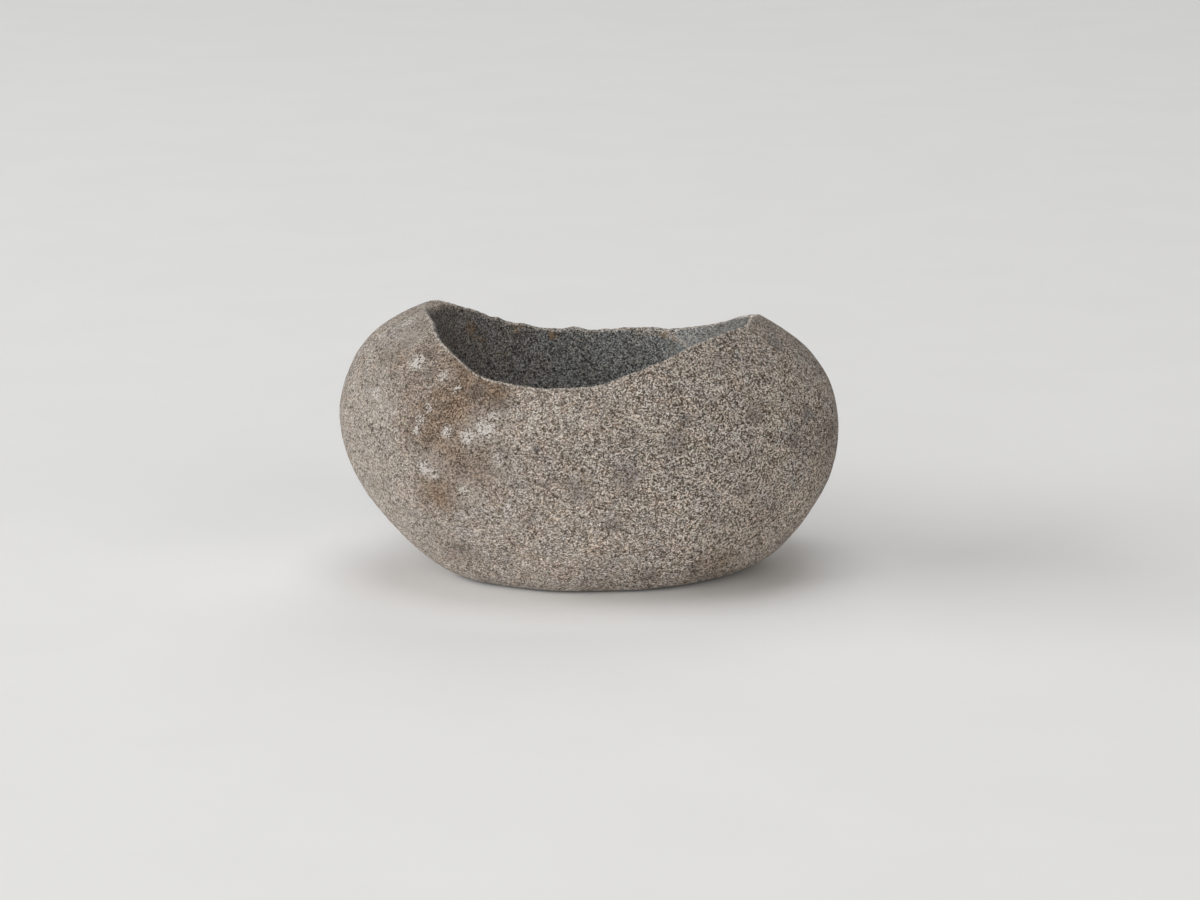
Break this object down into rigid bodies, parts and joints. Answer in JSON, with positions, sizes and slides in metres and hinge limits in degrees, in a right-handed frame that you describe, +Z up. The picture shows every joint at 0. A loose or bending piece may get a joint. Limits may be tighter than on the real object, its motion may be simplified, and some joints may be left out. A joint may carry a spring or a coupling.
{
  "type": "stone bowl",
  "caption": "River cobble hollowed out into an open bowl, with a ground flat foot, a natural outer skin and a saddle-shaped rim.",
  "frame": {"origin": "on the ground under the middle of the stone", "axes": "+X along the length of the stone towards the lower end of its rim, +Y away from the front, +Z up"},
  "size_m": [0.18, 0.13, 0.0962],
  "materials": {
    "stone": "matt weathered skin with dark and pale grains outside, freshly cut blue-grey inside"
  },
  "bodies": {
    "root": {"stone_bowl": "stone"}
  },
  "joints": []
}
